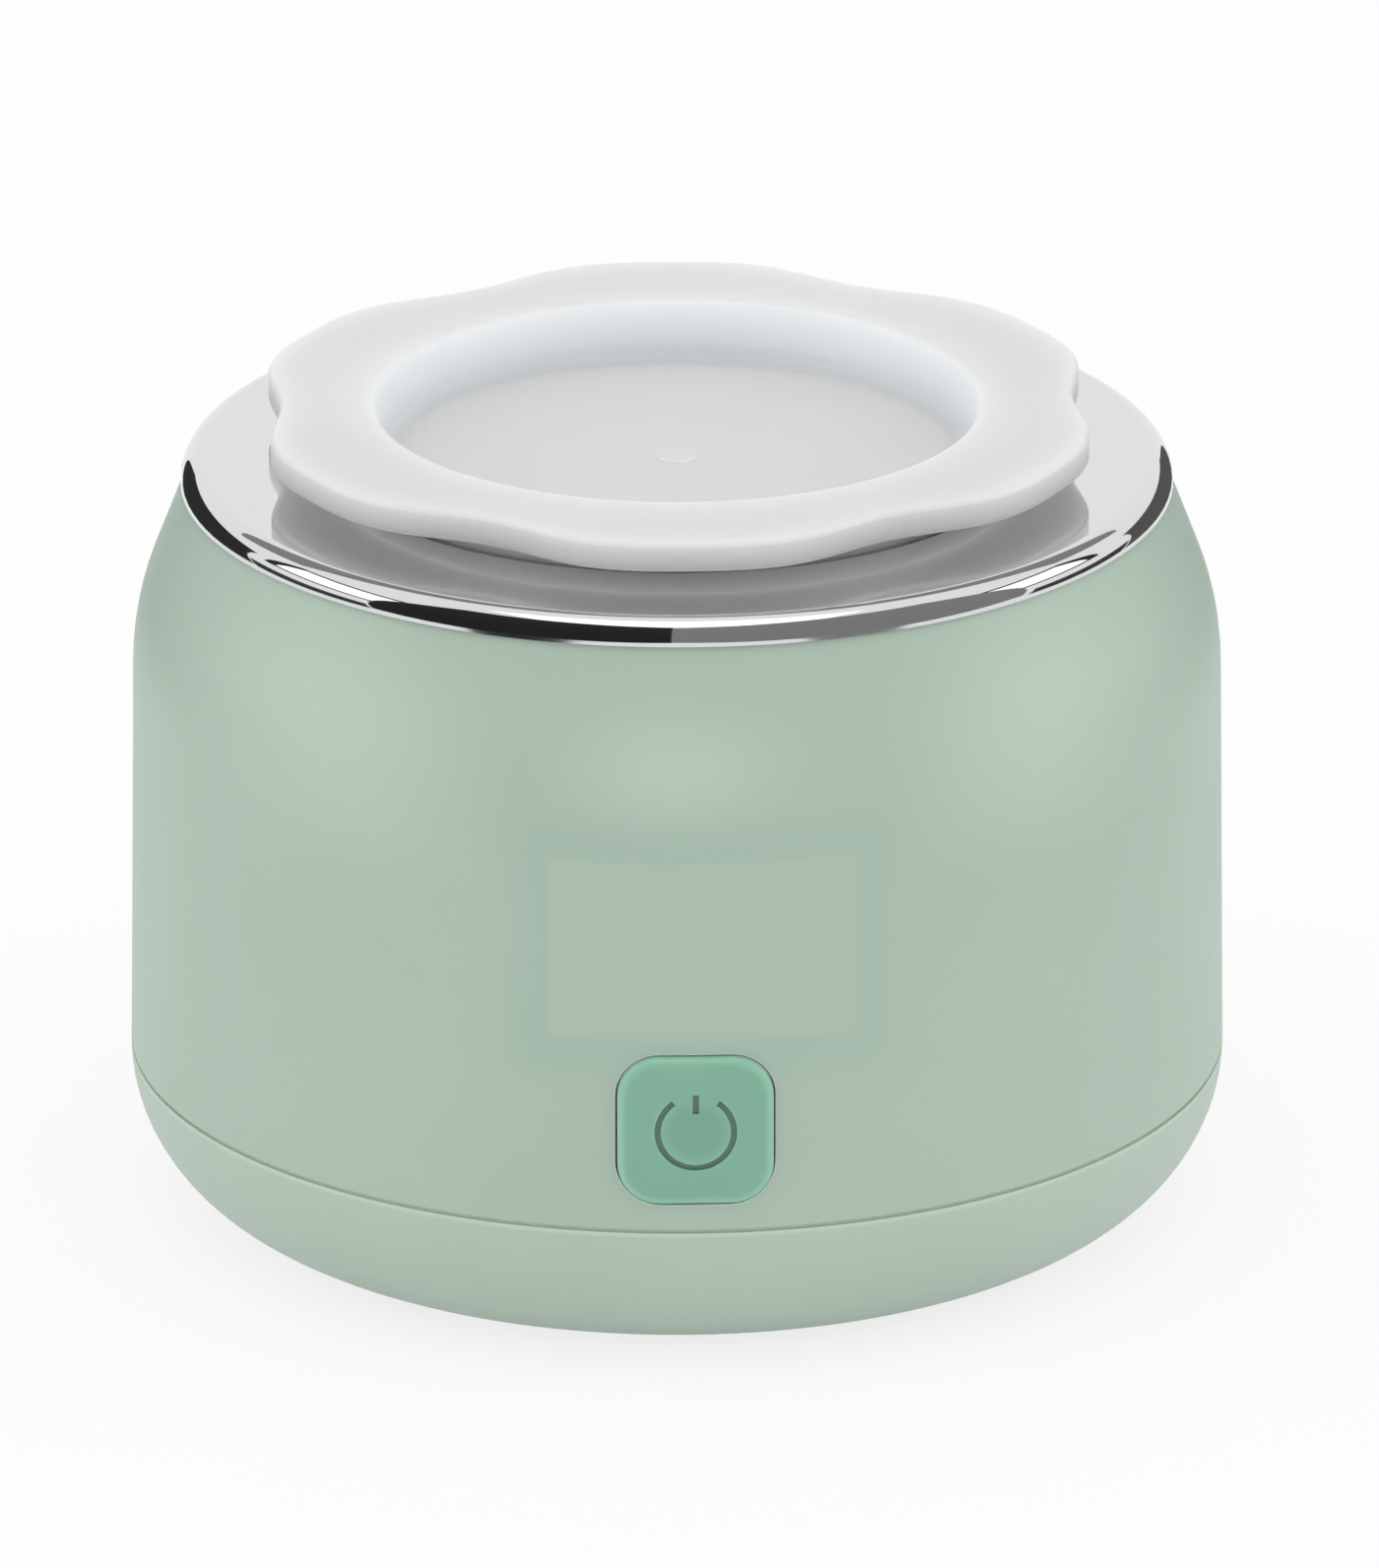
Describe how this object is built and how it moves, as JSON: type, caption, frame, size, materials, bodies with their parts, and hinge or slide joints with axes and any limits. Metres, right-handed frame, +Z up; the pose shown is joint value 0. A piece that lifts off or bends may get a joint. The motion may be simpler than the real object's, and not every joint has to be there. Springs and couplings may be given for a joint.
{
  "type": "portable milk warmer",
  "caption": "Squat round cordless milk warmer: frosted shell on a bowl base, chrome ring, threaded heated neck, lift-off lobed plug lid, push button and hidden display.",
  "frame": {"origin": "on the table, under the centre of the round body", "axes": "+Z up along the body's axis, -Y out of the front with the button, +X to the right seen from the front"},
  "size_m": [0.088, 0.0885, 0.067],
  "materials": {
    "shell_plastic": "frosted translucent mint",
    "base_plastic": "frosted mint",
    "button_plastic": "satin green",
    "lid_silicone": "milky white, matt",
    "ring_chrome": "bright plated",
    "foot_silicone": "matt grey",
    "collar_plastic": "white, fine matt",
    "seal_silicone": "milky white",
    "cup_steel": "spun",
    "heater_film": "amber film",
    "felt": "white felt",
    "sensor_epoxy": "black",
    "frame_plastic": "light grey",
    "cell_wrap": "blue wrap over a metal can",
    "nickel": "nickel strip",
    "board_green": "green lacquer",
    "chip_black": "black",
    "connector_white": "ivory",
    "port_steel": "tinned",
    "display_white": "pale diffuser",
    "baffle_grey": "dark grey",
    "plunger_white": "white",
    "screw_steel": "zinc plated",
    "lead_insulation": "red"
  },
  "bodies": {
    "housing": {"outer_shell": "shell_plastic", "base_cover": "base_plastic", "chrome_ring": "ring_chrome", "foot_ring": "foot_silicone", "neck_collar": "collar_plastic", "collar_seal": "seal_silicone", "neck_gasket": "seal_silicone", "heater_cup": "cup_steel", "heat_shield": "cup_steel", "heater_disc": "heater_film", "insulation_pad": "felt", "thermistor": "sensor_epoxy", "thermal_cutout": "sensor_epoxy", "inner_frame": "frame_plastic", "battery_cradle": "frame_plastic", "battery_cells": "cell_wrap", "cell_tabs": "nickel", "battery_strap": "nickel", "main_board": "board_green", "front_board": "board_green", "board_parts": "chip_black", "push_switch": "chip_black", "port_blade": "chip_black", "board_connectors": "connector_white", "board_ribbon": "connector_white", "charge_port": "port_steel", "display_module": "display_white", "display_frame": "baffle_grey", "base_screws": "screw_steel", "frame_screws": "screw_steel", "neck_screws": "screw_steel", "board_screws": "screw_steel", "strap_screws": "screw_steel", "front_board_screws": "screw_steel", "heater_leads": "lead_insulation", "thermistor_leads": "lead_insulation", "battery_leads": "lead_insulation"},
    "lid": {"lid": "lid_silicone"},
    "button": {"power_button": "button_plastic"},
    "plunger": {"switch_plunger": "plunger_white"}
  },
  "joints": [
    {"name": "lid_lift", "type": "slide", "parent": "housing", "child": "lid", "axis": [0, 0, 1], "range_m": [0, 0.045]},
    {"name": "button_press", "type": "slide", "parent": "housing", "child": "button", "axis": [0, 1, 0], "range_m": [0, 0.0005], "stiffness_N_per_m": 800, "springref_m": -0.0005},
    {"name": "plunger_press", "type": "slide", "parent": "housing", "child": "plunger", "axis": [0, 1, 0], "range_m": [0, 0.0005]}
  ],
  "couplings": [
    {"joint": "plunger_press", "follows": "button_press", "ratio": 1}
  ]
}
